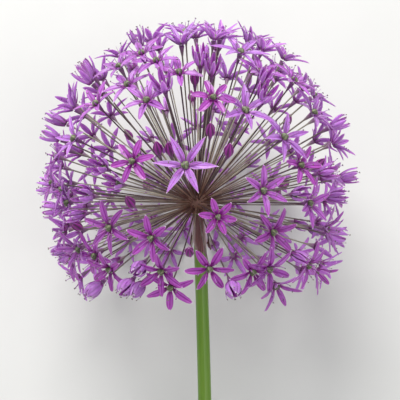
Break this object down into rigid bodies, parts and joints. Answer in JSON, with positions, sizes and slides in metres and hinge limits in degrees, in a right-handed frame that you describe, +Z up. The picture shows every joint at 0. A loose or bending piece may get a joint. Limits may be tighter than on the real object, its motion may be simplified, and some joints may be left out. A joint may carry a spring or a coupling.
{
  "type": "allium flower head",
  "caption": "Cut ornamental allium lying on its back: a round umbel of purple star florets on thin stalks, with its papery spathe and a length of green scape.",
  "frame": {"origin": "middle of the plant's box in X and Y, on the surface it lies on", "axes": "+Z up from the surface; the scape runs along Y, cut end towards -Y and flower head towards +Y, climbing from the surface towards the head; X is across the head"},
  "size_m": [0.1198, 0.19, 0.111],
  "materials": {
    "florets": "soft satin tepals, lilac to magenta, on purple-brown to olive stalks",
    "spathe": "dry matte papery bract",
    "scape": "smooth green stalk with a waxy bloom"
  },
  "bodies": {
    "root": {"umbel": "florets", "spathe": "spathe", "scape": "scape"}
  },
  "joints": []
}
